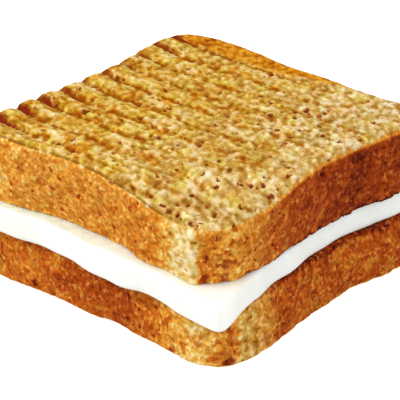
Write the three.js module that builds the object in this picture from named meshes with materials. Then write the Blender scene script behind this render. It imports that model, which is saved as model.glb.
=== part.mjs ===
// A closed toasted cheese sandwich: two thick square slices of wholemeal bread, pressed under ribbed
// plates, with one slab of white cheese between them. It lies on its lower slice, +Z up, with its
// grooves along X. The origin is the middle of the underside of its bounding box.

import * as THREE from 'three';
import { mergeVertices } from 'three/addons/utils/BufferGeometryUtils.js';

// Driving dimensions, in millimetres and degrees

const SLICE_SIDE = 100;
const SLICE_CORNER_RADIUS = 12;
const CONTACT_GAP = 0.3;
const CUT_EDGE_ROUND = 0.9;
const WALL_BULGE = 0.5;
const CRUST_LUMP = 0.25;
const RAGGED_EDGE = 0.4;

// Waves that make an outline ragged, by how many go round it, their share of its height and their start
const RAGGED_WAVES = [{ round: 5, share: 1, start: 1 }, { round: 11, share: 0.6, start: 2.3 }];

// Waves that make a crust lumpy, along the wall and up it, in radians to a millimetre
const LUMP_ALONG = { x: 0.27, y: 0.23 };
const LUMP_WAVES = [{ along: 1, up: 0.4, start: 1 }, { along: 1.9, up: -0.5, start: 3 }];

// The ribs of the plates leave grooves, deepest at the left end of each groove. A groove is steep on the
// side toward +Y and gentle on the other.
const RIB_PITCH = 8.9;
const RIB_OFFSET = 0.4;
const GROOVE_COUNT = 11;
const GROOVE_STEEP_WIDTH = 1.6;
const GROOVE_GENTLE_WIDTH = 4.2;

// Outward directions of the sides, as a piece lies on its lower face before it is put in its place
const SIDES = {
  left: new THREE.Vector2(-1, 0),
  right: new THREE.Vector2(1, 0),
  front: new THREE.Vector2(0, -1),
  back: new THREE.Vector2(0, 1),
};

// A waist is how far a side is drawn in between its corners, and the lean is how far the wall stands in
// at the cut face. A dent is a place where a side was pressed in, or bulges where its depths are below
// zero: where along the side it is deepest, how far it reaches before and after that place, and how deep
// it is at the lower and the upper face. One corner of the upper slice was squeezed blunter than the
// others, and dips.
const LOWER_SLICE = {
  thickness: 16.6,
  spread: 1,
  waists: { left: 2, right: 2, front: 2, back: 1.5 },
  dents: [
    { side: 'back', at: -26, before: 22, after: 18, under: -0.9, over: -0.9 },
    { side: 'back', at: 10, before: 8, after: 8, under: 0.7, over: 0.7 },
    { side: 'back', at: 24, before: 26, after: 22, under: 1.4, over: 1.4 },
    { side: 'right', at: -28, before: 22, after: 14, under: -1.8, over: -1.6 },
    { side: 'right', at: 28, before: 32, after: 26, under: -0.4, over: -1.4 },
  ],
  lean: 3,
  shoulder: { inset: 1.2, drop: 1.6 },
  grooves: { left: 1.4, right: 0.8, back: 1, fade: 100 },
  corner: { start: 52, keep: 1, dip: 0 },
  phase: 0.8,
};
const UPPER_SLICE = {
  thickness: 21.9,
  spread: 0,
  waists: { left: 2.4, right: 3.2, front: 2.8, back: 1.2 },
  dents: [
    { side: 'front', at: -14, before: 18, after: 20, under: 2, over: 0 },
    { side: 'front', at: 8, before: 17, after: 15, under: 2.6, over: 0 },
    { side: 'front', at: 29, before: 8, after: 10, under: 1.4, over: 0 },
    { side: 'right', at: 32, before: 16, after: 16, under: -1.6, over: -0.6 },
    { side: 'left', at: -32, before: 26, after: 16, under: 1.2, over: 1.5 },
    { side: 'back', at: -18, before: 30, after: 24, under: -0.9, over: -0.9 },
    { side: 'back', at: 32, before: 24, after: 14, under: 1.4, over: 1.4 },
  ],
  lean: 0,
  shoulder: { inset: 2.6, drop: 3.4 },
  grooves: { left: 2.1, right: 0.25, back: 0.65, fade: 68 },
  corner: { start: 52, keep: 0.8, dip: 4.6 },
  phase: 2.1,
};
const DIP_START = 34;
const DIP_LENGTH = 28;

const CHEESE_SIDE = 100;
const CHEESE_CORNER_RADIUS = 2.5;
const CHEESE_THICKNESS = 8.6;
const CHEESE_WAISTS = { left: 2, right: 4.5, front: 1.6, back: 2 };
const CHEESE_DENTS = [
  { side: 'front', at: -16, before: 40, after: 13, under: 1.7, over: 2.2 },
  { side: 'front', at: 12, before: 20, after: 9, under: -2, over: 0 },
  { side: 'front', at: 38, before: 9, after: 9, under: -1.4, over: -1.4 },
  { side: 'right', at: -9, before: 14, after: 12, under: -0.8, over: -0.8 },
  { side: 'right', at: 34, before: 16, after: 16, under: -1.8, over: -1 },
];
const CHEESE_EDGE_ROUND = 1.1;
const CHEESE_RIPPLE = 0.3;
const CHEESE_WAVES = { x: 0.42, y: 0.37, start: 1 };
const CHEESE_TURN = 2.5;
const CHEESE_SHIFT = { x: 0, y: -2.6 };
const CHEESE_CORNER = { start: 58, keep: 1.3 };

const BREAD_COLOUR = 0xc88a3e;
const BREAD_ROUGHNESS = 0.9;
const CHEESE_COLOUR = 0xf6f3e4;
const CHEESE_ROUGHNESS = 0.45;

// Density of the nets that the solids are made of
const SLICE_COLUMNS = 16;
const CHEESE_COLUMNS = 24;
const WALL_STEPS = 3;
const SHOULDER_STEPS = 4;
const EDGE_STEPS = 3;
const EDGE_POWER = 10;

function smooth(value) {
  const t = THREE.MathUtils.clamp(value, 0, 1);
  return t * t * (3 - 2 * t);
}

function evenSteps(from, to, count) {
  return Array.from({ length: count + 1 }, (_, k) => from + (to - from) * k / count);
}

function sum(values) {
  return values.reduce((total, value) => total + value, 0);
}

// A square net of lines laid over a rounded square. A line is named by its distance from the middle,
// measured along the side it ends on, so that the four ends of the net are the middles of the corners.
class RoundedSquare {
  constructor(side, cornerRadius, waists) {
    this.radius = cornerRadius;
    this.straight = side / 2 - cornerRadius;
    this.reach = this.straight + cornerRadius * Math.PI / 4;
    this.cornerPlace = this.straight + cornerRadius * Math.SQRT1_2;
    this.waists = waists;
  }

  bend(line) {
    return Math.max(0, Math.abs(line) - this.straight) / this.radius;
  }

  along(line) {
    const flat = Math.min(Math.abs(line), this.straight);
    return Math.sign(line) * (flat + this.radius * Math.sin(this.bend(line)));
  }

  standOut(line, waist) {
    const middle = Math.max(0, 1 - (line / this.straight) ** 2);
    return this.straight + this.radius * Math.cos(this.bend(line)) - waist * middle ** 2;
  }

  meet(line, crossing, waist) {
    const nearEdge = (Math.abs(line) / this.reach) ** EDGE_POWER;
    const push = nearEdge * (this.standOut(crossing, waist) - this.cornerPlace);
    return this.along(line) + Math.sign(line) * push;
  }

  place(column, row) {
    const sideways = column > 0 ? this.waists.right : this.waists.left;
    const lengthways = row > 0 ? this.waists.back : this.waists.front;
    return new THREE.Vector2(this.meet(column, row, sideways), this.meet(row, column, lengthways));
  }
}

// Distance toward the corner between the right and front sides
function towardCorner(point) {
  return (point.x - point.y) * Math.SQRT1_2;
}

function squeezeCorner(point, corner) {
  const past = Math.max(0, towardCorner(point) - corner.start);
  const pull = past * (1 - corner.keep) * Math.SQRT1_2;
  point.x -= pull;
  point.y += pull;
}

function cornerDip(point, corner) {
  return corner.dip * smooth((towardCorner(point) - DIP_START) / DIP_LENGTH);
}

// Moves a point near the rim of a net by the dents of the sides that it is near
function pressSides(point, column, row, reach, dents, up) {
  const moves = dents.map((dent) => {
    const outward = SIDES[dent.side];
    const nearSide = Math.max(0, (column * outward.x + row * outward.y) / reach) ** EDGE_POWER;
    const offset = (outward.x === 0 ? point.x : point.y) - dent.at;
    const part = offset / (offset < 0 ? dent.before : dent.after);
    const shape = Math.max(0, 1 - part ** 2) ** 2;
    const depth = THREE.MathUtils.lerp(dent.under, dent.over, up);
    return outward.clone().multiplyScalar(-nearSide * shape * depth);
  });
  moves.forEach((move) => point.add(move));
}

// Depth of the ribs' grooves below the flat ridges between them
function grooveDepth(point, grooves) {
  const half = SLICE_SIDE / 2;
  const fromRib = point.y - RIB_OFFSET - RIB_PITCH / 2;
  const offCentre = fromRib - RIB_PITCH * Math.round(fromRib / RIB_PITCH);
  const width = offCentre > 0 ? GROOVE_STEEP_WIDTH : GROOVE_GENTLE_WIDTH;
  const shape = smooth(1 - Math.abs(offCentre) / width);
  const across = smooth((point.x + half) / grooves.fade);
  const acrossFade = THREE.MathUtils.lerp(grooves.left, grooves.right, across);
  const backFade = THREE.MathUtils.lerp(1, grooves.back, smooth((point.y + half) / SLICE_SIDE));
  return shape * acrossFade * backFade;
}

// Slow unevenness of a baked outline, round the slice
function ragged(point, phase) {
  const turn = Math.atan2(point.y, point.x);
  const heights = RAGGED_WAVES.map((wave) => wave.share * Math.sin(wave.round * turn + wave.start * phase));
  return RAGGED_EDGE * sum(heights);
}

// Lumps of a crust wall, along it and up it
function crustLump(point, height, phase) {
  const along = point.x * LUMP_ALONG.x + point.y * LUMP_ALONG.y;
  const turns = LUMP_WAVES.map((wave) => wave.along * along + wave.up * height + wave.start * phase);
  return CRUST_LUMP * sum(turns.map(Math.sin));
}

// A box net whose lines and levels are moved to their places, closed at its seams
function closedNet(columns, rows, levels, place) {
  const sizes = [columns, rows, levels].map((list) => list.length - 1);
  const net = new THREE.BoxGeometry(2, 2, 2, ...sizes);
  const corners = net.getAttribute('position');
  const pick = (list, value) => list[Math.round((value + 1) / 2 * (list.length - 1))];
  for (let k = 0; k < corners.count; k += 1) {
    const column = pick(columns, corners.getX(k));
    const row = pick(rows, corners.getY(k));
    const level = pick(levels, corners.getZ(k));
    const spot = place(column, row, level);
    corners.setXYZ(k, spot.x, spot.y, spot.z);
  }
  net.deleteAttribute('normal');
  net.deleteAttribute('uv');
  const closed = mergeVertices(net);
  closed.computeVertexNormals();
  return closed;
}

// Levels of a slice from its cut face up the wall and over the shoulder to the toasted face
function sliceLevels(slice) {
  const { thickness, shoulder } = slice;
  const cutEdge = evenSteps(0, Math.PI / 2, EDGE_STEPS - 1).map((turn) => ({
    inset: CUT_EDGE_ROUND * (1 - Math.sin(turn)),
    height: CUT_EDGE_ROUND * (1 - Math.cos(turn)),
    relief: 0,
  }));
  const shoulderStart = thickness - shoulder.drop;
  const wall = evenSteps(0, 1, WALL_STEPS).slice(1, -1).map((part) => ({
    inset: -WALL_BULGE * Math.sin(Math.PI * part),
    height: THREE.MathUtils.lerp(CUT_EDGE_ROUND, shoulderStart, part),
    relief: 0,
  }));
  const rounding = evenSteps(0, Math.PI / 2, SHOULDER_STEPS).map((turn) => ({
    inset: shoulder.inset * (1 - Math.cos(turn)),
    height: shoulderStart + shoulder.drop * Math.sin(turn),
    relief: Math.sin(turn) ** 2,
  }));
  return [...cutEdge, ...wall, ...rounding];
}

// Rows of a slice's net, four to a rib: a groove's gentle side in two steps, its floor and its steep side
function ribRows(square) {
  const rows = [-square.reach];
  const firstGroove = RIB_OFFSET + RIB_PITCH / 2 - RIB_PITCH * (GROOVE_COUNT + 1) / 2;
  for (let k = 0; k <= GROOVE_COUNT; k += 1) {
    const centre = firstGroove + RIB_PITCH * k;
    const gentleSide = [centre - GROOVE_GENTLE_WIDTH, centre - GROOVE_GENTLE_WIDTH / 2];
    rows.push(...gentleSide, centre, centre + GROOVE_STEEP_WIDTH);
  }
  rows.push(square.reach);
  const margin = GROOVE_STEEP_WIDTH / 2;
  return rows.filter((row) => Math.abs(row) === square.reach || Math.abs(row) < square.reach - margin);
}

// A slice lying on its cut face, toasted face up
function sliceSolid(slice) {
  const square = new RoundedSquare(SLICE_SIDE, SLICE_CORNER_RADIUS, slice.waists);
  const columns = evenSteps(-square.reach, square.reach, SLICE_COLUMNS);
  return closedNet(columns, ribRows(square), sliceLevels(slice), (column, row, level) => {
    const point = square.place(column, row);
    const up = level.height / slice.thickness;
    pressSides(point, column, row, square.reach, slice.dents, up);
    const lump = crustLump(point, level.height, slice.phase) * Math.sin(Math.PI * up);
    const outward = slice.spread + ragged(point, slice.phase) - level.inset - lump - slice.lean * (1 - up);
    point.multiplyScalar(1 + outward / (SLICE_SIDE / 2));
    squeezeCorner(point, slice.corner);
    const sink = up * cornerDip(point, slice.corner) + level.relief * grooveDepth(point, slice.grooves);
    return new THREE.Vector3(point.x, point.y, level.height - sink);
  });
}

// The cheese lies on its lower face. Its edges are softened by the heat and ripple a little.
function cheeseSolid() {
  const square = new RoundedSquare(CHEESE_SIDE, CHEESE_CORNER_RADIUS, CHEESE_WAISTS);
  const lines = evenSteps(-square.reach, square.reach, CHEESE_COLUMNS);
  const roundTurns = evenSteps(0, Math.PI / 2, EDGE_STEPS - 1);
  const lowerEdge = roundTurns.map((turn) => ({
    inset: CHEESE_EDGE_ROUND * (1 - Math.sin(turn)),
    height: CHEESE_EDGE_ROUND * (1 - Math.cos(turn)),
  }));
  const upperEdge = lowerEdge.map((level) => ({
    inset: level.inset,
    height: CHEESE_THICKNESS - level.height,
  })).reverse();
  return closedNet(lines, lines, [...lowerEdge, ...upperEdge], (column, row, level) => {
    const point = square.place(column, row);
    pressSides(point, column, row, square.reach, CHEESE_DENTS, level.height / CHEESE_THICKNESS);
    const wave = CHEESE_WAVES;
    const ripple = CHEESE_RIPPLE * (Math.sin(wave.x * point.x + wave.start) + Math.sin(wave.y * point.y));
    point.multiplyScalar(1 - (level.inset - ripple) / (CHEESE_SIDE / 2));
    squeezeCorner(point, CHEESE_CORNER);
    return new THREE.Vector3(point.x, point.y, level.height);
  });
}

function matteMaterial(color, roughness) {
  return new THREE.MeshStandardMaterial({ color, roughness, metalness: 0 });
}

// The lower slice is turned over, so that its toasted face is underneath.
const lowerSlice = new THREE.Mesh(sliceSolid(LOWER_SLICE), matteMaterial(BREAD_COLOUR, BREAD_ROUGHNESS));
lowerSlice.name = 'bottom_slice';
lowerSlice.rotation.x = Math.PI;
lowerSlice.position.z = LOWER_SLICE.thickness;

const cheese = new THREE.Mesh(cheeseSolid(), matteMaterial(CHEESE_COLOUR, CHEESE_ROUGHNESS));
cheese.name = 'cheese';
cheese.rotation.z = THREE.MathUtils.degToRad(CHEESE_TURN);
cheese.position.set(CHEESE_SHIFT.x, CHEESE_SHIFT.y, LOWER_SLICE.thickness + CONTACT_GAP);

const upperSlice = new THREE.Mesh(sliceSolid(UPPER_SLICE), matteMaterial(BREAD_COLOUR, BREAD_ROUGHNESS));
upperSlice.name = 'top_slice';
upperSlice.position.z = LOWER_SLICE.thickness + CHEESE_THICKNESS + 2 * CONTACT_GAP;

const sandwich = new THREE.Group();
sandwich.add(lowerSlice, cheese, upperSlice);

// Moves the middle of the bounding box's underside to the origin.
const bounds = new THREE.Box3().setFromObject(sandwich, true);
const middle = bounds.getCenter(new THREE.Vector3());
sandwich.position.set(-middle.x, -middle.y, -bounds.min.z);

export default sandwich;
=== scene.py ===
# A closed toasted cheese sandwich, put together from the table up: bread, cheese, bread, then the studio.
import math

import bpy
import numpy as np
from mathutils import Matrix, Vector


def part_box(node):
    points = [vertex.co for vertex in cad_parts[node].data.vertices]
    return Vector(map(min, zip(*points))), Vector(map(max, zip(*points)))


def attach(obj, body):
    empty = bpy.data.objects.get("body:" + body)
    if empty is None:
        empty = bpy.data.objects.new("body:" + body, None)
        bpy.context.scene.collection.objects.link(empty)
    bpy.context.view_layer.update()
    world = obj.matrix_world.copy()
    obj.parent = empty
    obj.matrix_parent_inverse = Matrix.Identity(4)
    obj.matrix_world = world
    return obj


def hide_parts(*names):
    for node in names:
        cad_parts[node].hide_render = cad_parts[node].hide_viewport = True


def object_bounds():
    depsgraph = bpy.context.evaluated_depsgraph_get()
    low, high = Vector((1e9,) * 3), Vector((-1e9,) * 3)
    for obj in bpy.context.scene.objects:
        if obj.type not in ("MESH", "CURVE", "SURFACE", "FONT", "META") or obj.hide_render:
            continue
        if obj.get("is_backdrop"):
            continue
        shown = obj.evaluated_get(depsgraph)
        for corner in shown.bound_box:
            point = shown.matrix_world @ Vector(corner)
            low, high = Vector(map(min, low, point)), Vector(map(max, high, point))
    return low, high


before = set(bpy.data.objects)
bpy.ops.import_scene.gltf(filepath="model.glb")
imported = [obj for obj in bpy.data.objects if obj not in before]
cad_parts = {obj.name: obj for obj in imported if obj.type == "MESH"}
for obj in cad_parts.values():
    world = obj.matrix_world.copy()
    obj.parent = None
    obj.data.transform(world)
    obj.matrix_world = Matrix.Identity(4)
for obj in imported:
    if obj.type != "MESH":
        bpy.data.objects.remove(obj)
solid_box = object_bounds()


# Lower slice
# A thick square slice of wholemeal tin bread that lies on its toasted face, which the ribs of a grill
# plate have grooved. Its baked crust leans in toward the cut face, where the cheese lies.

MM_IN_METRE = 1000.0
SLICE_SIDE = 100.0
HALF_SIDE = SLICE_SIDE / 2
SLICE_CORNER_RADIUS = 12.0
SIDES = {"left": (-1, 0), "right": (1, 0), "front": (0, -1), "back": (0, 1)}
# How suddenly the net's straight lines bend to the outline as they come near the rim.
EDGE_POWER = 10
CUT_EDGE_ROUND = 0.4
CUT_EDGE_STEPS = 4
SHOULDER_STEPS = 10
WALL_BULGE = 0.5
CRUST_LUMP = 0.25
LUMP_ALONG = (0.27, 0.23)
# Waves of lumps on the crust: how close they follow along a side and up it, and their start.
LUMP_WAVES = ((1.0, 0.4, 1.0), (1.9, -0.5, 3.0))
RAGGED_EDGE = 0.4
# Waves of the ragged outline: how many go round, how strong they are, and their start.
RAGGED_WAVES = ((5, 1.0, 1.0), (11, 0.6, 2.3))
DIP_START = 34.0
DIP_LENGTH = 28.0
# Rings of the plain face, as shares of its outline.
UNDER_RINGS = (0.7, 0.9, 0.96, 0.985)
# How far a tear reaches, in its radii.
TEAR_REACH = 1.2

# The slice as it lies on its cut face. It is turned over onto its toasted face, so that its back side
# becomes the front.
LOWER_SLICE = {
    "thickness": 16.6,
    "spread": 1.0,
    "waists": {"left": 2.0, "right": 2.0, "front": 2.0, "back": 1.5},
    "dents": (
        ("back", -26, 22, 18, -0.9, -0.9),
        ("back", 10, 8, 8, 0.7, 0.7),
        ("back", 24, 26, 22, 1.4, 1.4),
        ("right", -28, 22, 14, -1.8, -1.6),
        ("right", 28, 32, 26, -0.4, -1.4),
    ),
    "lean": 3.0,
    "shoulder_inset": 1.2,
    "shoulder_drop": 1.6,
    "corner_start": 52.0,
    "corner_keep": 1.0,
    "dip": 0.0,
    "phase": 0.8,
}
LOWER_LINES = 210
LOWER_WALL_STEPS = 30
LOWER_SEED = 40.0


def soft_step(value):
    """Zero up to 0, one from 1 on, and a smooth rise between them."""
    part = np.clip(value, 0, 1)
    return part * part * (3 - 2 * part)


class RoundedSquare:
    """A square net of lines over a rounded square whose sides are drawn in between its corners."""

    def __init__(self, side, corner_radius, waists):
        self.radius = corner_radius
        self.straight = side / 2 - corner_radius
        self.reach = self.straight + corner_radius * math.pi / 4
        self.corner = self.straight + corner_radius * math.sqrt(0.5)
        self.waists = waists

    def bend(self, line):
        return np.maximum(0, abs(line) - self.straight) / self.radius

    def meet(self, line, crossing, waist):
        along = np.minimum(abs(line), self.straight) + self.radius * np.sin(self.bend(line))
        middle = np.maximum(0, 1 - (crossing / self.straight) ** 2)
        stand_out = self.straight + self.radius * np.cos(self.bend(crossing)) - waist * middle**2
        push = (abs(line) / self.reach) ** EDGE_POWER * (stand_out - self.corner)
        return np.sign(line) * (along + push)

    def place(self, column, row):
        sideways = np.where(column > 0, self.waists["right"], self.waists["left"])
        lengthways = np.where(row > 0, self.waists["back"], self.waists["front"])
        return self.meet(column, row, sideways), self.meet(row, column, lengthways)


def squeeze_corner(x, y, start, keep):
    """Draws the corner between the right and front sides in, or pulls it out where keep is over one."""
    past = np.maximum(0, (x - y) * math.sqrt(0.5) - start)
    pull = past * (1 - keep) * math.sqrt(0.5)
    return x - pull, y + pull


def press_sides(x, y, column, row, reach, dents, up):
    """Moves points near the rim by the dents of the sides: each has its side, its place along it, its
    reach before and after that place, and its depth at the lower and the upper face."""
    moved_x, moved_y = x, y
    for side, at, before, after, under, over in dents:
        out_x, out_y = SIDES[side]
        near = np.maximum(0, (column * out_x + row * out_y) / reach) ** EDGE_POWER
        offset = (y if out_x else x) - at
        part = offset / np.where(offset < 0, before, after)
        depth = near * np.maximum(0, 1 - part**2) ** 2 * (under + (over - under) * up)
        moved_x = moved_x - out_x * depth
        moved_y = moved_y - out_y * depth
    return moved_x, moved_y


def slice_levels(form, wall_steps):
    """Inset, height and toasted share of each level, from the cut face up over the shoulder."""
    quarter = np.linspace(0, math.pi / 2, CUT_EDGE_STEPS)
    edge_insets = CUT_EDGE_ROUND * (1 - np.sin(quarter))
    edge = zip(edge_insets, CUT_EDGE_ROUND * (1 - np.cos(quarter)), 0 * quarter)
    shoulder_start = form["thickness"] - form["shoulder_drop"]
    part = np.linspace(0, 1, wall_steps + 1)[1:-1]
    height = CUT_EDGE_ROUND + (shoulder_start - CUT_EDGE_ROUND) * part
    wall = zip(-WALL_BULGE * np.sin(math.pi * part), height, 0 * part)
    turn = np.linspace(0, math.pi / 2, SHOULDER_STEPS)
    rise = shoulder_start + form["shoulder_drop"] * np.sin(turn)
    shoulder = zip(form["shoulder_inset"] * (1 - np.cos(turn)), rise, np.sin(turn) ** 2)
    return [*edge, *wall, *shoulder]


def slice_places(form):
    """The net of a slice that lies on its cut face, and a function from a crossing of its lines and a
    level to a point."""
    square = RoundedSquare(SLICE_SIDE, SLICE_CORNER_RADIUS, form["waists"])
    phase = form["phase"]

    def place(column, row, level):
        inset, height, _ = level
        up = height / form["thickness"]
        x, y = press_sides(*square.place(column, row), column, row, square.reach, form["dents"], up)
        turn = np.arctan2(y, x)
        ragged = sum(
            strength * np.sin(waves * turn + start * phase)
            for waves, strength, start in RAGGED_WAVES
        )
        along = LUMP_ALONG[0] * x + LUMP_ALONG[1] * y
        lump = sum(
            np.sin(close * along + climb * height + start * phase)
            for close, climb, start in LUMP_WAVES
        )
        inward = inset + CRUST_LUMP * lump * math.sin(math.pi * up) + form["lean"] * (1 - up)
        scale = 1 + (form["spread"] + RAGGED_EDGE * ragged - inward) / HALF_SIDE
        x, y = squeeze_corner(x * scale, y * scale, form["corner_start"], form["corner_keep"])
        dip = form["dip"] * soft_step(((x - y) * math.sqrt(0.5) - DIP_START) / DIP_LENGTH)
        return np.stack([x, y, height - up * dip], axis=-1)

    return square, place


def closed_net(name, node, lines, levels, place, turned_over=False, tears=(), settled=0.0):
    """A closed mesh with one fine face, the wall below it and a plain face under that, in the box of a
    solid. Returns the object and the place of the net's middle. Each point keeps its share of the fine
    face, how far above the plain face it is, whether it is exposed, and how deep in a tear of the fine
    face. A tear has its place in the net and its radius. A settled piece reaches that much further down
    than its solid."""
    column, row = (axis.ravel() for axis in np.meshgrid(lines, lines, indexing="ij"))
    grid = np.arange(column.size).reshape(len(lines), len(lines))
    rim = np.concatenate([grid[:-1, 0], grid[-1, :-1], grid[:0:-1, -1], grid[0, :0:-1]])
    first_ring = place(column[rim], row[rim], levels[0])
    under = [first_ring * (share, share, 1) for share in UNDER_RINGS]
    wall = [place(column[rim], row[rim], level) for level in levels[:-1]]
    rings = [*under, *wall]
    face = place(column, row, levels[-1])
    points = np.concatenate([face, *rings])
    loops = [column.size + k * rim.size + np.arange(rim.size) for k in range(len(rings))]
    loops.append(rim)
    corners = [grid[:-1, :-1], grid[1:, :-1], grid[1:, 1:], grid[:-1, 1:]]
    quads = [np.stack(corners, axis=-1).reshape(-1, 4)]
    for low, high in zip(loops, loops[1:]):
        quads.append(np.stack([low, np.roll(low, -1), np.roll(high, -1), high], axis=-1))
    if turned_over:
        points = points * (1, -1, -1)
    low_corner, high_corner = (np.array(corner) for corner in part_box(node))
    low_corner[2] -= settled / MM_IN_METRE
    start, end = points.min(axis=0), points.max(axis=0)
    scale = (high_corner - low_corner) / (end - start)
    mesh = bpy.data.meshes.new(name)
    faces = np.concatenate(quads).tolist() + [loops[0][::-1].tolist()]
    mesh.from_pydata((low_corner + (points - start) * scale).tolist(), [], faces)
    mesh.shade_smooth()

    hidden = np.zeros(rim.size * len(under))
    on_wall = np.ones(rim.size * len(wall))
    torn = np.zeros(column.size)
    for tear_x, tear_y, radius in tears:
        away = np.hypot(face[:, 0] - tear_x, face[:, 1] - tear_y)
        torn = np.maximum(torn, TEAR_REACH - away / radius)
    _, heights, shares = zip(*levels)
    kept = {
        "face_share": [np.full(column.size, shares[-1]), hidden, np.repeat(shares[:-1], rim.size)],
        "above_cut": [np.full(column.size, heights[-1]), hidden, np.repeat(heights[:-1], rim.size)],
        "exposed": [np.ones(column.size), hidden, on_wall],
        "torn": [np.clip(torn, 0, 1), hidden, 0 * on_wall],
    }
    for kept_name, parts in kept.items():
        values = np.concatenate(parts).astype(np.float32)
        mesh.attributes.new(kept_name, "FLOAT", "POINT").data.foreach_set("value", values)
    piece = bpy.data.objects.new(name, mesh)
    bpy.context.scene.collection.objects.link(piece)
    return piece, Vector(low_corner - start * scale)


class Wire:
    """The output of a node, which takes part in sums and products."""

    def __init__(self, graph, made, socket):
        self.graph = graph
        self.made = made
        self.socket = socket

    def out(self, key):
        return Wire(self.graph, self.made, pick(self.made.outputs, key))

    def __add__(self, other):
        return self.graph.math("ADD", self, other)

    def __radd__(self, other):
        return self.graph.math("ADD", other, self)

    def __sub__(self, other):
        return self.graph.math("SUBTRACT", self, other)

    def __rsub__(self, other):
        return self.graph.math("SUBTRACT", other, self)

    def __mul__(self, other):
        return self.graph.math("MULTIPLY", self, other)

    def __rmul__(self, other):
        return self.graph.math("MULTIPLY", other, self)

    def __truediv__(self, other):
        return self.graph.math("DIVIDE", self, other)

    def __neg__(self):
        return self.graph.math("MULTIPLY", self, -1.0)

    def __abs__(self):
        return self.graph.math("ABSOLUTE", self)

    def __round__(self):
        return self.graph.math("ROUND", self)


def pick(sockets, key):
    """A socket by its number, its identifier or its name."""
    if isinstance(key, int):
        return sockets[key]
    for socket in sockets:
        if socket.identifier == key:
            return socket
    return sockets[key]


def set_stops(colour_ramp, stops):
    """Gives a colour ramp its stops, from the lowest place to the highest."""
    elements = colour_ramp.elements
    while len(elements) < len(stops):
        elements.new(1.0)
    for element, (place, colour) in zip(elements, stops):
        element.position = place
        element.color = colour


class Graph:
    """A node tree that is being wired up."""

    def __init__(self, tree):
        self.tree = tree

    def node(self, kind, settings=None, sockets=None, output=0):
        made = self.tree.nodes.new(kind)
        for name, value in (settings or {}).items():
            if name == "stops":
                set_stops(made.color_ramp, value)
            else:
                setattr(made, name, value)
        for key, value in (sockets or {}).items():
            socket = pick(made.inputs, key)
            if isinstance(value, Wire):
                self.tree.links.new(value.socket, socket)
            else:
                socket.default_value = value
        return Wire(self, made, pick(made.outputs, output)) if len(made.outputs) else made

    def math(self, operation, first, second=0.0):
        return self.node("ShaderNodeMath", {"operation": operation}, {0: first, 1: second})

    def ramp(self, value, start, end, low=0.0, high=1.0):
        sockets = {"Value": value, "From Min": start, "From Max": end, "To Min": low, "To Max": high}
        return self.node("ShaderNodeMapRange", {"interpolation_type": "SMOOTHSTEP"}, sockets)

    def stops(self, value, stops):
        return self.node("ShaderNodeValToRGB", {"stops": stops}, {"Fac": value}, "Color")

    def noise(self, place, scale, detail=1.0, rough=0.5, shift=None):
        """A soft pattern that swings about zero, by half at most."""
        where = self.vector("ADD", place, shift) if shift else place
        sockets = {"Vector": where, "Scale": scale, "Detail": detail, "Roughness": rough}
        return self.node("ShaderNodeTexNoise", {}, sockets, "Fac") - 0.5

    def vector(self, operation, first, second):
        return self.node("ShaderNodeVectorMath", {"operation": operation}, {0: first, 1: second})

    def scaled(self, vector, size):
        return self.node("ShaderNodeVectorMath", {"operation": "SCALE"}, {0: vector, "Scale": size})

    def apart(self, vector):
        split = self.node("ShaderNodeSeparateXYZ", {}, {0: vector})
        return split.out("X"), split.out("Y"), split.out("Z")

    def mix(self, share, first, second):
        sockets = {"Factor_Float": share, "A_Color": first, "B_Color": second}
        return self.node("ShaderNodeMix", {"data_type": "RGBA"}, sockets, "Result_Color")

    def tinted(self, share, colour, tint):
        return self.mix(share, colour, self.vector("MULTIPLY", colour, tint))


# Patterns of the bread, in cells to a millimetre.
LUMPS = 0.52
PORE_SHAKE = 0.6
LARGE_PORES = 0.2
SMALL_PORES = 0.44
FINE_CRUMB = 0.85
CRUST_GRAIN = 0.9
CRUST_FLECKS = 0.7
HUES = 0.28
TINTS = 0.22
CLOUDS = 0.2
PATCHES = 0.11
STRANDS = (0.1, 0.45, 0.3)
GROOVE_WANDERS = 0.07
GROOVE_WAVERS = 0.34
GROOVE_DEPTHS = 0.25
EDGE_TEARS = 0.17
CRUST_SWELLS = 0.2
# The way in which the dough was stretched, and the share that its patterns are drawn out by.
DOUGH_DRAWN = (0.665, -0.747, 0.0)
DRAWN_SHARE = 0.33
PORE_SHAKE_REACH = 2.6
SMALL_PORE_SHARE = 0.85


def drawn_out(g, place):
    """Places drawn together in the way that the dough was stretched, so that patterns lie along it."""
    sockets = {0: place, 1: DOUGH_DRAWN}
    along = g.node("ShaderNodeVectorMath", {"operation": "DOT_PRODUCT"}, sockets, "Value")
    return g.vector("SUBTRACT", place, g.scaled(DOUGH_DRAWN, DRAWN_SHARE * along))


def pores(g, place, scale, first_draw, size, softness):
    """Pores in the cells of a pattern, the larger the higher a cell's draw is above the first draw."""
    middle_away = g.node("ShaderNodeTexVoronoi", {}, {"Vector": place, "Scale": scale}, "Distance")
    draw, _, _ = g.apart(middle_away.out("Color"))
    return g.ramp(g.ramp(draw, first_draw, 1.0, 0.0, size) - middle_away, 0.0, softness)


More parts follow.
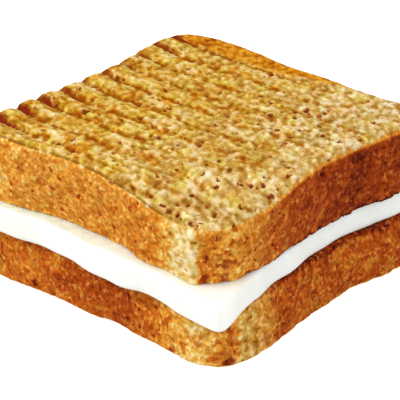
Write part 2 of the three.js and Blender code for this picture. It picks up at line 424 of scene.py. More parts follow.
def crumb_marks(g, drawn, y, torn):
    """Lumps of crumb, about two millimetres across, the small pores between them, and all the pores: the
    small ones, some large ones and the ragged tears of the face."""
    lump = g.noise(drawn, LUMPS, 1.0, 0.4)
    sockets = {"Vector": drawn, "Scale": PORE_SHAKE, "Detail": 1.0, "Roughness": 0.5}
    shake = g.vector("SUBTRACT", g.node("ShaderNodeTexNoise", {}, sockets, "Color"), (0.5, 0.5, 0.5))
    shaken = g.vector("ADD", drawn, g.scaled(shake, PORE_SHAKE_REACH))
    openness = g.ramp(y, 34.0, 14.0, 0.8, 1.06)
    large_pore = pores(g, shaken, LARGE_PORES, 0.4, 0.34, 0.26)
    small_pore = pores(g, shaken, SMALL_PORES, 0.25, 0.46 * openness, 0.3)
    ragged = g.ramp(torn + 1.3 * lump, 0.25, 0.8)
    pore = g.math("MAXIMUM", large_pore, SMALL_PORE_SHARE * small_pore)
    return lump, small_pore, g.math("MAXIMUM", ragged, pore)


def keep_on_points(g, geometry, name, value, kind="FLOAT"):
    """Stores a value on each point of a mesh, under a name that the colours read."""
    sockets = {"Geometry": geometry, "Name": name, "Value": value}
    return g.node("GeometryNodeStoreNamedAttribute", {"data_type": kind, "domain": "POINT"}, sockets)


RELIEF_SIZES = {
    "Seed": 0.0,
    "Rib Pitch": 8.9,
    "Rib Offset": 0.4,
    "Rib Turn": 1.0,
    "Rib Wander": 2.0,
    "Rib Waver": 1.1,
    "Rib Bend": 0.0,
    "Steep Width": 1.6,
    "Gentle Width": 4.2,
    "Depth Left": 2.1,
    "Depth Right": 0.35,
    "Fade End": -16.0,
    "Back Share": 0.28,
    "Rim Calm": 0.5,
    "Crumb Depth": 0.2,
    "Pore Depth": 0.7,
    "Crust Grain": 0.32,
    "Edge Lift": 0.9,
    "Rim Crease": 0.0,
    "Corner Place": 40.0,
    "Corner Edge": 0.0,
}


def rib_grooves(g, given, x, y, dough):
    """How deep the ribs press each point, and whether it is at the foot or on the flank of a groove.
    Places are in millimetres from the slice's middle, x to the right and y to the back."""
    pitch = given.out("Rib Pitch")
    wander = given.out("Rib Wander") * g.noise(dough, GROOVE_WANDERS, 2.0)
    waver = given.out("Rib Waver") * g.noise(dough, GROOVE_WAVERS)
    bend = given.out("Rib Bend") * g.ramp(x, -46.0, -30.0) * g.ramp(x, 10.0, 28.0, 1.0, 0.4)
    from_rib = y * given.out("Rib Turn") - given.out("Rib Offset") + (wander + waver) + bend
    from_groove = from_rib - pitch * 0.5
    off_centre = from_groove - pitch * round(from_groove / pitch)
    steep_side = g.ramp(off_centre, 0.0, given.out("Steep Width"), 1.0, 0.0)
    gentle_side = g.ramp(off_centre, -given.out("Gentle Width"), 0.0)
    left, right = given.out("Depth Left"), given.out("Depth Right")
    depth = g.ramp(x, -HALF_SIDE, given.out("Fade End"), left, right)
    depth = depth * g.ramp(y, -HALF_SIDE, HALF_SIDE, 1.0, given.out("Back Share"))
    left_rim = g.ramp(x, 12.0 - HALF_SIDE, -HALF_SIDE) * g.ramp(y, -28.0, -4.0)
    depth = depth * (1 - given.out("Rim Calm") * left_rim)
    uneven = 1 + 0.5 * g.noise(dough, GROOVE_DEPTHS, 2.0)
    foot = g.ramp(abs(off_centre + 0.1), 0.9, 0.2)
    flank = g.ramp(off_centre, -1.2, 0.1) * g.ramp(off_centre, 2.2, 1.0)
    return steep_side * gentle_side * depth * uneven, foot, flank


def relief_tree():
    """Geometry Nodes that press the ribs' grooves into the toasted face, lift the torn edge of the crust,
    keep each point's place for the colours, then open the pores of the crumb and roughen the crust."""
    tree = bpy.data.node_groups.new("toasted relief", "GeometryNodeTree")
    sockets = tree.interface
    sockets.new_socket("Slice", in_out="INPUT", socket_type="NodeSocketGeometry")
    for name, value in RELIEF_SIZES.items():
        sockets.new_socket(name, in_out="INPUT", socket_type="NodeSocketFloat").default_value = value
    sockets.new_socket("Middle", in_out="INPUT", socket_type="NodeSocketVector")
    sockets.new_socket("Press", in_out="INPUT", socket_type="NodeSocketVector")
    sockets.new_socket("Finish", in_out="INPUT", socket_type="NodeSocketMaterial")
    sockets.new_socket("Toast", in_out="OUTPUT", socket_type="NodeSocketGeometry")
    g = Graph(tree)
    given = g.node("NodeGroupInput")
    position = g.node("GeometryNodeInputPosition")
    place = g.scaled(g.vector("SUBTRACT", position, given.out("Middle")), MM_IN_METRE)
    x, y, _ = g.apart(place)
    seed = given.out("Seed")
    dough = g.vector("ADD", place, g.node("ShaderNodeCombineXYZ", {}, {"X": seed, "Y": seed, "Z": seed}))
    face_share, torn, above_cut, exposed = (
        g.node("GeometryNodeInputNamedAttribute", {"data_type": "FLOAT"}, {"Name": kept})
        for kept in ("face_share", "torn", "above_cut", "exposed")
    )

    pressed, foot, flank = rib_grooves(g, given, x, y, dough)
    on_rim = g.ramp(face_share, 0.4, 0.6) * g.ramp(face_share, 0.98, 0.75)
    crease = on_rim * g.ramp(y, -28.0, -40.0) * given.out("Rim Crease")
    ragged = g.ramp(g.noise(dough, EDGE_TEARS, 3.0, 0.6), -0.08, 0.16)
    ragged = ragged * g.ramp(above_cut, 5.0, 0.0) * exposed
    lift = ragged * given.out("Edge Lift") * g.ramp(y, -36.0, -26.0, 0.35, 1.0)
    sink = pressed * face_share + crease - lift

    lump, small_pore, pore = crumb_marks(g, drawn_out(g, dough), y, torn)
    hollow = g.ramp(lump, 0.16, -0.16)
    face_rise = -(given.out("Crumb Depth") * hollow + given.out("Pore Depth") * pore)
    swell = 1.8 * lump + 1.5 * g.noise(dough, CRUST_SWELLS, 2.0)
    crust_rise = swell * given.out("Crust Grain") - 0.3 * small_pore * given.out("Pore Depth")
    at_corner = g.ramp(abs(x - given.out("Corner Place")), 3.2, 0.0) * g.ramp(y, -40.0, -44.0)
    crust_rise = crust_rise + at_corner * given.out("Corner Edge")
    rise = face_rise * face_share + crust_rise * (1 - face_share) * exposed

    shaped = keep_on_points(g, given.out("Slice"), "groove_foot", foot * face_share)
    shaped = keep_on_points(g, shaped, "groove_flank", flank * face_share)
    sunk = g.scaled(given.out("Press"), sink / MM_IN_METRE)
    shaped = g.node("GeometryNodeSetPosition", {}, {"Geometry": shaped, "Offset": sunk})
    shaped = keep_on_points(g, shaped, "dough_place", place, "FLOAT_VECTOR")
    risen = g.scaled(g.node("GeometryNodeInputNormal"), rise / MM_IN_METRE)
    shaped = g.node("GeometryNodeSetPosition", {}, {"Geometry": shaped, "Offset": risen})
    shaped = g.node("GeometryNodeRealizeInstances", {}, {"Geometry": shaped})
    shaped = g.node("GeometryNodeSetMaterial", {}, {"Geometry": shaped, "Material": given.out("Finish")})
    g.node("NodeGroupOutput", {}, {0: shaped})
    return tree


def grow(piece, tree, values):
    """Runs a Geometry Nodes tree on a piece and keeps its result as a plain mesh."""
    modifier = piece.modifiers.new(tree.name, "NODES")
    modifier.node_group = tree
    for item in tree.interface.items_tree:
        if item.in_out == "INPUT" and item.name in values:
            modifier[item.identifier] = values[item.name]
    depsgraph = bpy.context.evaluated_depsgraph_get()
    finished = piece.evaluated_get(depsgraph)
    grown = bpy.data.meshes.new_from_object(finished, preserve_all_data_layers=True, depsgraph=depsgraph)
    grown.name = piece.name
    piece.modifiers.clear()
    piece.data = grown


def paint(red, green, blue):
    """A colour as it is seen on a screen, from 0 to 255, made linear for a shader."""
    seen = [channel / 255 for channel in (red, green, blue)]
    linear = [c / 12.92 if c <= 0.04045 else ((c + 0.055) / 1.055) ** 2.4 for c in seen]
    return (*linear, 1.0)


GOLDEN_CRUMB = (
    (0.0, paint(150, 86, 8)),
    (0.2, paint(174, 121, 27)),
    (0.4, paint(194, 150, 52)),
    (0.6, paint(213, 176, 86)),
    (0.8, paint(226, 199, 136)),
    (1.0, paint(238, 218, 174)),
)
BEIGE_CRUMB = (
    (0.0, paint(144, 96, 30)),
    (0.2, paint(171, 129, 57)),
    (0.4, paint(192, 155, 83)),
    (0.6, paint(212, 183, 113)),
    (0.8, paint(228, 206, 155)),
    (1.0, paint(242, 228, 196)),
)
BAKED_CRUST = (
    (0.0, paint(250, 230, 172)),
    (0.12, paint(240, 206, 124)),
    (0.25, paint(228, 172, 70)),
    (0.37, paint(216, 140, 44)),
    (0.5, paint(196, 108, 28)),
    (0.65, paint(174, 78, 18)),
    (0.8, paint(144, 54, 14)),
    (0.93, paint(114, 36, 8)),
    (1.0, paint(82, 22, 4)),
)
GOLDEN_BAND = (
    (0.0, paint(140, 58, 2)),
    (0.3, paint(188, 112, 12)),
    (0.55, paint(212, 146, 32)),
    (1.0, paint(236, 184, 78)),
)
ROSY_CRUMB = paint(228, 194, 156)
PALE_CRUMB = paint(226, 212, 184)
GREEN_GOLD_TINT = (0.99, 1.07, 0.84)
ORANGE_TINT = (1.04, 0.76, 0.42)
GROOVE_TINT = (0.84, 0.63, 0.3)
GROOVE_FOOT = paint(132, 64, 4)
SCORCHED_END = paint(124, 32, 12)
PORE_EDGE_BROWN_AND_SHADE = paint(166, 84, 16)
PORE_DEPTH_BROWN_AND_SHADE = paint(102, 46, 12)
RIM_CREASE_SHADE = paint(128, 82, 16)
OLIVE_CRUST = paint(188, 130, 42)
CRUST_FLECK = paint(222, 160, 104)
BREAD_SHEEN = 0.02
BREAD_BUMP = 0.3


class Crumb:
    """What the colours of a slice follow: each point's place in millimetres, x from the left at -50 to
    the right and y from the front at -50 to the back, what the relief kept, and patterns about zero."""

    def __init__(self, g, seed):
        self.place = g.node("ShaderNodeAttribute", {"attribute_name": "dough_place"}, {}, "Vector")
        self.x, self.y, _ = g.apart(self.place)
        self.face_share, self.above_cut, torn, self.foot, self.flank = (
            g.node("ShaderNodeAttribute", {"attribute_name": kept}, {}, "Fac")
            for kept in ("face_share", "above_cut", "torn", "groove_foot", "groove_flank")
        )
        self.dough = g.vector("ADD", self.place, (seed, seed, seed))
        drawn = drawn_out(g, self.dough)
        self.lump, self.small_pore, self.pore = crumb_marks(g, drawn, self.y, torn)
        self.fine = g.noise(drawn, FINE_CRUMB)
        self.tone = 1.35 * self.lump + 0.3 * self.fine
        self.hue = g.noise(drawn, HUES, shift=(17.0, 5.0, 9.0))
        self.tint = g.noise(drawn, TINTS, shift=(3.0, 29.0, 13.0))
        self.cloud = g.noise(drawn, CLOUDS, shift=(41.0, 7.0, 19.0))
        self.patch = g.noise(self.dough, PATCHES, 3.0, 0.55)
        self.grain = g.noise(self.dough, CRUST_GRAIN, 1.5)


def crumb_colour(g, crumb, face_gold):
    """Cream lumps of crumb among golden hollows, in patches of rosier, greener and more orange hue."""
    x, y, patch, hue, tint = crumb.x, crumb.y, crumb.patch, crumb.hue, crumb.tint
    gilded, browned = face_gold(g, x, y)
    on_flank = crumb.flank * g.ramp(x + 16 * patch, 46.0, -4.0)
    strand = g.noise(g.vector("MULTIPLY", crumb.dough, STRANDS), 1.0)
    tone = 0.46 + crumb.tone + 0.6 * patch + 0.5 * hue - 0.13 * on_flank - browned
    tone = tone + g.ramp(y, -8.0, -36.0, 0.2, 0.8) * strand
    gold = gilded + 1.2 * patch - 1.3 * crumb.cloud + 0.3 * on_flank
    colour = g.mix(gold, g.stops(tone, BEIGE_CRUMB), g.stops(tone, GOLDEN_CRUMB))
    bright = g.ramp(tone, 0.3, 0.6)
    rosy = bright * g.ramp(tint, 0.0, 0.14) * g.ramp(x, -30.0, 20.0, 0.5, 1.0)
    colour = g.mix(0.34 * rosy, colour, ROSY_CRUMB)
    colour = g.tinted(g.ramp(tint, -0.03, -0.17), colour, GREEN_GOLD_TINT)
    colour = g.tinted(g.ramp(hue, -0.04, -0.18) * (0.4 + 0.6 * gold), colour, ORANGE_TINT)
    pale = bright * g.ramp(crumb.cloud, -0.04, 0.14)
    pale = pale * g.ramp(x, 4.0, 34.0) * g.ramp(y, 6.0, 28.0, 0.25, 0.55)
    colour = g.mix(pale, colour, PALE_CRUMB)
    return g.scaled(colour, 1 + 0.55 * crumb.fine)


def face_colour(g, crumb, face_gold, back_band):
    """The toasted face: crumb that is browned in the grooves, scorched at their ends, golden in a band
    along the back, and dark in its torn pores, partly with the brown of bran and partly with painted
    shade in their hollows."""
    x, y, patch, lump, foot, flank = crumb.x, crumb.y, crumb.patch, crumb.lump, crumb.foot, crumb.flank
    face = crumb_colour(g, crumb, face_gold)
    line = g.ramp(flank, 0.5, 1.0) * g.ramp(x + 30 * patch + 14 * crumb.hue, 58.0, 28.0)
    line = line * g.ramp(crumb.tone, 0.25, -0.1)
    line = line * (g.ramp(y, -40.0, -20.0, 0.35, 0.68) + g.ramp(x, -4.0, 20.0, 0.0, 0.3))
    face = g.tinted(line, face, GROOVE_TINT)
    foot_line = foot * g.ramp(x + 24 * patch, 24.0, -30.0) * g.ramp(lump, 0.12, -0.06, 0.25, 1.0)
    face = g.mix(0.9 * foot_line, face, GROOVE_FOOT)
    band = back_band(g, x, y + 5 * patch + 3 * lump)
    face = g.mix(band, face, g.stops(0.38 + crumb.tone + 0.5 * patch, GOLDEN_BAND))
    reach = x + 9 * patch + 8 * lump - 7 * foot
    groove_end = g.ramp(flank + foot, 0.2, 0.7) * g.ramp(reach, -40.0, -48.0)
    hottest = 0.5 + 0.45 * g.ramp(y, -12.0, -20.0) + 0.45 * g.ramp(y, 26.0, 36.0)
    face = g.mix(groove_end * hottest, face, SCORCHED_END)
    # The pores darken toward their middles: partly the brown of bran, partly painted shade in the
    # hollows.
    face = g.mix(0.8 * g.ramp(crumb.pore, 0.05, 0.45), face, PORE_EDGE_BROWN_AND_SHADE)
    return g.mix(0.9 * g.ramp(crumb.pore, 0.4, 0.9), face, PORE_DEPTH_BROWN_AND_SHADE)


def crust_colour(g, crumb, wall_bake, front_edge_shade):
    """The crust, from cream through golden brown to dark, with small pits, pale flecks and bare crumb
    where it is torn off. Its cut edge, where it meets the cheese, is darkened by painted contact shade,
    at the front by the given share."""
    y, patch, lump, tone = crumb.y, crumb.patch, crumb.lump, crumb.tone
    wall, bare_share = wall_bake(g, crumb.place, 5 * patch + 3 * lump)
    bake = wall + 0.35 * patch - 0.26 * tone - 0.28 * crumb.hue
    # Painted contact shade: the crust is darkened toward its cut edge, where it meets the cheese.
    cut_edge_shade = g.ramp(crumb.above_cut + 2.4 * lump, 1.3, 0.3) * g.ramp(y, -44.0, -32.0, front_edge_shade, 0.22)
    shoulder = g.ramp(crumb.face_share, 0.03, 0.3) * g.ramp(bake, 0.3, 0.8)
    # Small pits are painted darker, partly as browner crust and partly as painted shade in their hollows.
    pit = g.ramp(crumb.small_pore, 0.1, 0.8)
    fleck = g.ramp(g.noise(crumb.dough, CRUST_FLECKS, shift=(5.0, 11.0, 23.0)), 0.03, 0.2)
    fleck = fleck * g.ramp(wall, 0.62, 0.8, 1.0, 0.6)
    bake = bake + cut_edge_shade - 0.45 * shoulder - 0.25 * crumb.grain - 0.2 * fleck + 0.03
    bake = bake + pit * g.ramp(wall, 0.5, 0.75, 0.32, 0.12)
    crust = g.stops(bake, BAKED_CRUST)
    olive = g.ramp(crumb.tint, -0.02, -0.16) * g.ramp(bake, 0.3, 0.5) * g.ramp(bake, 0.76, 0.62)
    crust = g.mix(0.45 * olive, crust, OLIVE_CRUST)
    crust = g.mix(0.15 * fleck, crust, CRUST_FLECK)
    bare_tone = 0.5 + 1.35 * tone + g.ramp(wall, 0.26, 0.1, -0.08, 0.22) - 0.7 * pit
    bare = g.mix(0.5, g.stops(bare_tone, BEIGE_CRUMB), g.stops(bare_tone, GOLDEN_CRUMB))
    crust = g.mix(bare_share, crust, bare)
    return g.scaled(crust, 1 + 1.05 * crumb.grain)


def new_finish(name):
    """An empty material, and the graph of its nodes."""
    material = bpy.data.materials.new(name)
    material.use_nodes = True
    material.node_tree.nodes.clear()
    return material, Graph(material.node_tree)


def toasted_bread(name, seed, face_gold, wall_bake, back_band, rim_crease_shade, front_edge_shade):
    """Toasted wholemeal: the face's crumb, the crust of the sides, a ragged border between them, and a
    painted crease shadow along the front rim by the given share."""
    material, g = new_finish(name)
    crumb = Crumb(g, seed)
    face = face_colour(g, crumb, face_gold, back_band)
    crust = crust_colour(g, crumb, wall_bake, front_edge_shade)
    crust_share = g.ramp(crumb.face_share + 0.5 * crumb.patch + 0.9 * crumb.lump, 0.66, 0.34)
    colour = g.mix(crust_share, face, crust)
    # Painted shade: a dark line in the shallow crease along the front rim of the toasted face.
    rim = g.ramp(crumb.face_share, 0.5, 0.62) * g.ramp(crumb.face_share, 0.9, 0.72)
    rim = rim * g.ramp(crumb.y, -36.0, -42.0) * g.ramp(crumb.x, 34.0, 26.0)
    rim = rim * g.ramp(crumb.tone + crumb.patch, 0.35, -0.05)
    colour = g.mix(0.85 * rim * rim_crease_shade, colour, RIM_CREASE_SHADE)
    dull = g.ramp(crumb.fine, -0.3, 0.3, 0.72, 0.95)
    bump_sockets = {"Strength": 0.2, "Distance": BREAD_BUMP / MM_IN_METRE, "Height": crumb.grain}
    bump = g.node("ShaderNodeBump", {}, bump_sockets)
    surface = g.node("ShaderNodeBsdfPrincipled", {}, {
        "Base Color": colour,
        "Roughness": dull,
        "Normal": bump,
        "Specular IOR Level": BREAD_SHEEN,
    })
    g.node("ShaderNodeOutputMaterial", {}, {"Surface": surface})
    return material


# How far the left and the right corner are from the front corner, across the slice.
HALF_ROUND = 70.0


def bake_round(g, place, wobble, unseen, sides):
    """Baking of the crust round a slice, and the share of it that is torn off the crumb: sides lists
    places from the left corner, -70, past the front corner, 0, to the right corner, 70, with both."""
    x, y, _ = g.apart(place)
    round_corner = (x + y) * math.sqrt(0.5) + wobble
    stops = [((at + HALF_ROUND) / (2 * HALF_ROUND), (bake, bare, 0.0, 1.0)) for at, bake, bare in sides]
    baked, bare, _ = g.apart(g.stops((round_corner + HALF_ROUND) / (2 * HALF_ROUND), stops))
    front = g.ramp(x - y, -10.0, 10.0)
    return unseen + front * (baked - unseen), front * bare


def scorched_corner(g, place, spots, start, end):
    """Dark spots on the crust round the front corner, which fade in at the start and out at the end."""
    x, y, _ = g.apart(place)
    across = (x + y) * math.sqrt(0.5)
    return spots * g.ramp(across, *start) * g.ramp(across, *end) * g.ramp(x - y, 60.0, 76.0)


# Place round the slice, baking, and share of bare crumb.
LOWER_BAKE = (
    (-60, 0.53, 0.0), (-52, 0.55, 0.0), (-42, 0.61, 0.0), (-32, 0.67, 0.0), (-25, 0.68, 0.0),
    (-19, 0.58, 0.0), (-14, 0.42, 0.0), (-9, 0.26, 0.05), (-4, 0.19, 0.2), (0, 0.23, 0.05),
    (2, 0.4, 0.0), (4, 0.6, 0.0), (6, 0.46, 0.1), (8, 0.28, 0.7), (11, 0.28, 0.75), (14, 0.37, 0.4),
    (17, 0.5, 0.1), (20, 0.65, 0.0), (30, 0.65, 0.0), (37, 0.61, 0.0), (45, 0.65, 0.0), (70, 0.65, 0.0),
)
LOWER_UNSEEN_BAKE = 0.5
LOWER_SPOTS = 0.3
LOWER_SCORCH = 0.3
UNDERSIDE_GOLD = 0.8


def lower_bake(g, place, wobble):
    """Crust that is dark along the front sides, pale and partly torn off at the front corner."""
    spots = g.ramp(g.noise(place, LOWER_SPOTS, shift=(23.0, 31.0, 8.0)), 0.05, 0.14)
    scorched = scorched_corner(g, place, spots, (-20.0, -12.0), (20.0, 14.0))
    bake, bare = bake_round(g, place, wobble, LOWER_UNSEEN_BAKE, LOWER_BAKE)
    return bake + LOWER_SCORCH * scorched, bare


def underside_gold(g, x, y):
    """An evenly golden face without browned patches."""
    return UNDERSIDE_GOLD, 0.0


def no_band(g, x, y):
    """No golden band along the back."""
    return 0.0


relief = relief_tree()
square, places = slice_places(LOWER_SLICE)
lines = np.linspace(-square.reach, square.reach, LOWER_LINES + 1)
levels = slice_levels(LOWER_SLICE, LOWER_WALL_STEPS)
lower_slice, lower_middle = closed_net(
    "lower_bread_slice", "bottom_slice", lines, levels, places, turned_over=True
)
lower_bread = toasted_bread(
    "lower toasted wholemeal",
    LOWER_SEED,
    face_gold=underside_gold,
    wall_bake=lower_bake,
    back_band=no_band,
    rim_crease_shade=0.0,
    front_edge_shade=0.3,
)
grow(lower_slice, relief, {
    "Seed": LOWER_SEED,
    "Rib Turn": -1.0,
    "Depth Left": 1.4,
    "Depth Right": 0.8,
    "Back Share": 1.0,
    "Middle": lower_middle,
    "Press": (0.0, 0.0, 1.0),
    "Finish": lower_bread,
})
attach(lower_slice, "root")
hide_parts("bottom_slice")


# Cheese
# One slab of firm white cheese, cut square and laid on the lower slice a little turned. The heat has
# softened its edges, and it sticks out past the bread along the front and at the front corner.

CHEESE_SIDE = 100.0
CHEESE_CORNER_RADIUS = 2.5
CHEESE_THICKNESS = 8.6
CHEESE_WAISTS = {"left": 2.0, "right": 4.5, "front": 1.6, "back": 2.0}
CHEESE_DENTS = (
    ("front", -16, 40, 13, 1.7, 2.2),
    ("front", 12, 20, 9, -2.0, 0.0),
    ("front", 38, 9, 9, -1.4, -1.4),
    ("right", -9, 14, 12, -0.8, -0.8),
    ("right", 34, 16, 16, -1.8, -1.0),
)
CHEESE_EDGE_ROUND = 1.1
CHEESE_EDGE_STEPS = 6
CHEESE_WALL_STEPS = 12
CHEESE_RIPPLE = 0.3
CHEESE_RIPPLE_WAVES = (0.42, 0.37)
CHEESE_RIPPLE_START = 1.0
CHEESE_TURN = math.radians(2.5)
CHEESE_CORNER_START = 58.0
CHEESE_CORNER_KEEP = 1.3
CHEESE_LINES = 120
CHEESE_WHITE = paint(250, 255, 243)
CHEESE_CREAM = paint(243, 250, 230)
CHEESE_LEDGE_SHADE = paint(208, 226, 204)
CHEESE_BUMP = 0.2
# How far light goes under the skin of the cheese, in metres.
CHEESE_GLOW = (0.006, 0.006, 0.0052)
# Patterns of the cheese, in cells to a millimetre.
CHEESE_CLOUDS = 0.11
CHEESE_CURDS = 0.9
CHEESE_BREAKS = 0.35

cheese_square = RoundedSquare(CHEESE_SIDE, CHEESE_CORNER_RADIUS, CHEESE_WAISTS)


def cheese_place(column, row, level):
    """A point of the slab, from a crossing of the net's lines and a level."""
    inset, height, _ = level
    x, y = cheese_square.place(column, row)
    up = height / CHEESE_THICKNESS
    x, y = press_sides(x, y, column, row, cheese_square.reach, CHEESE_DENTS, up)
    wave_x, wave_y = CHEESE_RIPPLE_WAVES
    ripple = CHEESE_RIPPLE * (np.sin(wave_x * x + CHEESE_RIPPLE_START) + np.sin(wave_y * y))
    scale = 1 - (inset - ripple) / (CHEESE_SIDE / 2)
    x, y = squeeze_corner(x * scale, y * scale, CHEESE_CORNER_START, CHEESE_CORNER_KEEP)
    turned_x = x * math.cos(CHEESE_TURN) - y * math.sin(CHEESE_TURN)
    turned_y = x * math.sin(CHEESE_TURN) + y * math.cos(CHEESE_TURN)
    return np.stack([turned_x, turned_y, np.full_like(x, height)], axis=-1)


def cheese_levels():
    """Inset, height and share of the upper face of each level, over both rounded edges."""
    quarter = np.linspace(0, math.pi / 2, CHEESE_EDGE_STEPS)
    insets = CHEESE_EDGE_ROUND * (1 - np.sin(quarter))
    heights = CHEESE_EDGE_ROUND * (1 - np.cos(quarter))
    wall = np.linspace(CHEESE_EDGE_ROUND, CHEESE_THICKNESS - CHEESE_EDGE_ROUND, CHEESE_WALL_STEPS)[1:-1]
    low = [(inset, height, 0.0) for inset, height in zip(insets, heights)]
    flat = [(0.0, height, 0.0) for height in wall]
    high = [
        (inset, CHEESE_THICKNESS - height, share)
        for inset, height, share in zip(insets[::-1], heights[::-1], np.sin(quarter) ** 4)
    ]
    return [*low, *flat, *high]


def white_cheese():
    """Close white cheese, a little translucent, with a faint moist sheen, creamier clouds, and painted
    shade in broken greyer patches on the ledge that sticks out at the left, under the upper slice."""
    material, g = new_finish("white cheese")
    where = g.node("ShaderNodeTexCoord", {}, {}, "Object")
    place = g.node("ShaderNodeMapping", {}, {"Vector": where, "Scale": [MM_IN_METRE] * 3})
    along, _, _ = g.apart(place)
    cloud = g.noise(place, CHEESE_CLOUDS, 3.0, 0.55)
    curd = g.noise(place, CHEESE_CURDS, 3.0, 0.6)
    broken = g.noise(place, CHEESE_BREAKS, 3.0, 0.6)
    top = g.node("ShaderNodeAttribute", {"attribute_name": "face_share"}, {}, "Fac")
    colour = g.mix(g.ramp(cloud + 0.4 * curd, -0.1, 0.25, 0.0, 0.7), CHEESE_WHITE, CHEESE_CREAM)
    # Painted shade from the upper slice above: broken grey patches on the top of the ledge at the left.
    ledge = top * g.ramp(along, 36.0, 24.0) * g.ramp(along, 14.0, -14.0, 0.45, 1.0)
    colour = g.mix(ledge * g.ramp(broken, -0.12, 0.12, 0.25, 0.75), colour, CHEESE_LEDGE_SHADE)
    moist = g.ramp(cloud, -0.2, 0.2, 0.38, 0.6)
    bump_sockets = {"Strength": 0.35, "Distance": CHEESE_BUMP / MM_IN_METRE, "Height": curd}
    bump = g.node("ShaderNodeBump", {}, bump_sockets)
    surface = g.node("ShaderNodeBsdfPrincipled", {}, {
        "Base Color": colour,
        "Roughness": moist,
        "Normal": bump,
        "Specular IOR Level": 0.35,
        "Subsurface Weight": 0.6,
        "Subsurface Radius": CHEESE_GLOW,
        "Subsurface Scale": 1.0,
    })
    g.node("ShaderNodeOutputMaterial", {}, {"Surface": surface})
    return material


lines = np.linspace(-cheese_square.reach, cheese_square.reach, CHEESE_LINES + 1)
cheese, _ = closed_net("cheese_slab", "cheese", lines, cheese_levels(), cheese_place)
cheese.data.materials.append(white_cheese())
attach(cheese, "root")
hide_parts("cheese")


# Upper slice
# The second slice of the same loaf, toasted face up. The ribs pressed it hardest at the left, one corner
# was squeezed thin, and its right side is the dark top crust of the loaf.

UPPER_SLICE = {
    "thickness": 21.9,
    "spread": 0.0,
    "waists": {"left": 2.4, "right": 3.2, "front": 2.8, "back": 1.2},
    "dents": (
        ("front", -14, 18, 20, 2.0, 0.0),
        ("front", 8, 17, 15, 2.6, 0.0),
        ("front", 29, 8, 10, 1.4, 0.0),
        ("right", 32, 16, 16, -1.6, -0.6),
        ("left", -32, 26, 16, 1.2, 1.5),
        ("back", -18, 30, 24, -0.9, -0.9),
        ("back", 32, 24, 14, 1.4, 1.4),
    ),
    "lean": 0.0,
    "shoulder_inset": 2.6,
    "shoulder_drop": 3.4,
    "corner_start": 52.0,
    "corner_keep": 0.8,
    "dip": 4.6,
    "phase": 2.1,
}
UPPER_LINES = 220
UPPER_WALL_STEPS = 34
UPPER_SEED = 7.0
# How far the slice has settled onto the cheese, past the gap that the solids keep.
UPPER_SETTLED = 0.25
# Place across and along the toasted face, and radius.
UPPER_TEARS = (
    (23.5, 8.0, 1.2), (29.5, 7.0, 1.4), (15.0, 15.0, 1.0), (10.0, 21.5, 0.8), (36.0, 14.0, 1.2),
    (-16.5, -3.0, 0.9), (0.5, -1.0, 0.8), (-25.0, 17.5, 0.7), (38.0, -7.0, 1.0), (41.5, -9.0, 1.0),
    (32.5, -30.0, 1.1), (30.0, -37.0, 1.1), (31.5, -40.5, 1.0), (40.0, -45.0, 1.4), (19.0, -31.0, 0.9),
    (-12.5, -17.0, 0.7), (-21.5, -35.0, 0.8), (-18.5, -41.5, 1.0), (37.0, -24.0, 0.9), (-1.0, -23.0, 0.7),
)
# Place round the slice, baking, and share of bare crumb.
UPPER_BAKE = (
    (-70, 0.37, 0.0), (-50, 0.36, 0.1), (-40, 0.4, 0.05), (-30, 0.42, 0.05), (-20, 0.43, 0.0),
    # From -12.5 to -4.4 the pale torn crumb is partly real and partly a painted highlight on the corner
    # facet that faces the left light.
    (-15.5, 0.43, 0.0), (-12.5, 0.27, 0.05), (-10, 0.13, 0.74), (-6, 0.08, 0.8), (-4.4, 0.0, 0.8),
    (-3.6, 0.42, 0.0), (0, 0.45, 0.0), (4, 0.32, 0.1), (10, 0.44, 0.05), (14, 0.48, 0.1),
    (19, 0.65, 0.0), (30, 0.75, 0.0), (39, 0.81, 0.0), (47, 0.85, 0.0), (56, 0.76, 0.0), (70, 0.76, 0.0),
)
UPPER_UNSEEN_BAKE = 0.42
UPPER_SPOTS = 0.24
UPPER_SCORCH = 0.34
# Place across and along the toasted face, reach, and depth of the browning in the middle.
UPPER_BROWNED = ((25.0, -11.0, 15.0, 0.14), (3.0, 10.0, 12.0, 0.06), (-20.0, -12.0, 11.0, 0.06))
BROWNED_GOLD = 2.5


def upper_bake(g, place, wobble):
    """Crust that is golden along the front side, dark along the right side, and torn off to the left of
    the front corner, where the pale bare crumb also carries a painted highlight on the facet that faces
    the left light."""
    spots = g.ramp(g.noise(place, UPPER_SPOTS, shift=(61.0, 3.0, 8.0)), 0.03, 0.13)
    scorched = scorched_corner(g, place, spots, (-4.4, -2.9), (12.0, 6.0))
    bake, bare = bake_round(g, place, wobble, UPPER_UNSEEN_BAKE, UPPER_BAKE)
    return bake + UPPER_SCORCH * scorched, bare


def upper_gold(g, x, y):
    """A face that is more golden toward the left, and browned in a few broad patches."""
    browned = 0.0
    for patch_x, patch_y, reach, depth in UPPER_BROWNED:
        off_x, off_y = x - patch_x, y - patch_y
        browned = browned + g.ramp(off_x * off_x + off_y * off_y, reach * reach, 0.0, 0.0, depth)
    return g.ramp(x, 45.0, -30.0) + BROWNED_GOLD * browned, browned


def upper_band(g, x, y):
    """A golden band along the back that narrows and ends toward the right."""
    return g.ramp(y - 6 * g.ramp(x, -10.0, 26.0), 39.0, 41.0) * g.ramp(x, 34.0, 12.0)


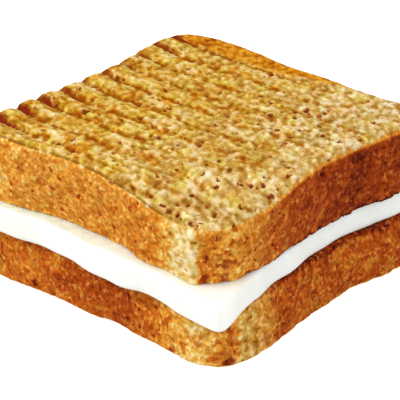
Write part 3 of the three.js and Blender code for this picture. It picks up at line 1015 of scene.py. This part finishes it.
square, places = slice_places(UPPER_SLICE)
lines = np.linspace(-square.reach, square.reach, UPPER_LINES + 1)
levels = slice_levels(UPPER_SLICE, UPPER_WALL_STEPS)
upper_slice, upper_middle = closed_net(
    "upper_bread_slice", "top_slice", lines, levels, places, tears=UPPER_TEARS, settled=UPPER_SETTLED
)
upper_bread = toasted_bread(
    "upper toasted wholemeal",
    UPPER_SEED,
    face_gold=upper_gold,
    wall_bake=upper_bake,
    back_band=upper_band,
    rim_crease_shade=1.0,
    front_edge_shade=-0.05,
)
grow(upper_slice, relief, {
    "Seed": UPPER_SEED,
    "Rib Bend": 2.2,
    "Rim Crease": 0.4,
    "Corner Edge": 1.2,
    "Middle": upper_middle,
    "Press": (0.0, 0.0, -1.0),
    "Finish": upper_bread,
})
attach(upper_slice, "root")
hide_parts("top_slice")


# Studio
# A glowing white sweep of floor, a bright even room, one soft light from the left and a weaker one from
# the right, and a long lens at the photograph's angle.

FLOOR_SIDE = 6.0
FLOOR_SOCKETS = {
    "Base Color": (0.95, 0.95, 0.95, 1.0),
    "Roughness": 1.0,
    "Specular IOR Level": 0.0,
    "Emission Color": (1.0, 1.0, 1.0, 1.0),
    "Emission Strength": 0.7,
}
ROOM_LIGHT = 0.74
CAMERA_AZIMUTH = math.radians(41.72)
CAMERA_ELEVATION = math.radians(27.36)
CAMERA_DISTANCE = 0.584
# Heights of the point that the camera stands off from, and of the one that it looks at.
STAND_OFF_HEIGHT = 0.022
AIM_HEIGHT = 0.01907
FOCAL_LENGTH_PIXELS = 1908.0
PHOTO_PIXELS = 400.0
SENSOR_WIDTH = 36.0

floor_mesh = bpy.data.meshes.new("studio_floor")
half_floor = FLOOR_SIDE / 2
floor_corners = [(-half_floor, -half_floor, 0), (half_floor, -half_floor, 0)]
floor_corners += [(half_floor, half_floor, 0), (-half_floor, half_floor, 0)]
floor_mesh.from_pydata(floor_corners, [], [(0, 1, 2, 3)])
floor = bpy.data.objects.new("studio_floor", floor_mesh)
floor.visible_diffuse = False
bpy.context.scene.collection.objects.link(floor)
floor_finish, floor_graph = new_finish("white floor")
floor_shader = floor_graph.node("ShaderNodeBsdfPrincipled", {}, FLOOR_SOCKETS)
floor_graph.node("ShaderNodeOutputMaterial", {}, {"Surface": floor_shader})
floor_mesh.materials.append(floor_finish)
floor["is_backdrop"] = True

world = bpy.data.worlds.new("bright room")
world.use_nodes = True
world.node_tree.nodes["Background"].inputs["Color"].default_value = (1.0, 1.0, 1.0, 1.0)
world.node_tree.nodes["Background"].inputs["Strength"].default_value = ROOM_LIGHT
bpy.context.scene.world = world
bpy.context.scene.view_settings.view_transform = "Standard"


def soft_light(name, place, size, power):
    """A square lamp that shines at the middle of the floor."""
    lamp = bpy.data.lights.new(name, "AREA")
    lamp.size = size
    lamp.energy = power
    light = bpy.data.objects.new(name, lamp)
    light.location = place
    light.rotation_mode = "QUATERNION"
    light.rotation_quaternion = Vector(place).to_track_quat("Z", "Y")
    bpy.context.scene.collection.objects.link(light)


soft_light("left light", place=(-0.45, -0.5, 0.6), size=0.4, power=4.2)
soft_light("right light", place=(0.6, -0.2, 0.5), size=0.6, power=1.7)

camera_data = bpy.data.cameras.new("camera")
camera_data.sensor_width = SENSOR_WIDTH
camera_data.lens = FOCAL_LENGTH_PIXELS / PHOTO_PIXELS * SENSOR_WIDTH
camera = bpy.data.objects.new("camera", camera_data)
back = Vector((
    math.sin(CAMERA_AZIMUTH) * math.cos(CAMERA_ELEVATION),
    -math.cos(CAMERA_AZIMUTH) * math.cos(CAMERA_ELEVATION),
    math.sin(CAMERA_ELEVATION),
))
bread_middle = Vector((upper_middle.x, upper_middle.y, 0))
camera.location = bread_middle + Vector((0, 0, STAND_OFF_HEIGHT)) + back * CAMERA_DISTANCE
aim = bread_middle + Vector((0, 0, AIM_HEIGHT)) - camera.location
camera.rotation_mode = "QUATERNION"
camera.rotation_quaternion = aim.to_track_quat("-Z", "Y")
bpy.context.scene.collection.objects.link(camera)
bpy.context.scene.camera = camera

dressed_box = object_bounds()
{"solids": [list(c) for c in solid_box], "dressed": [list(c) for c in dressed_box]}
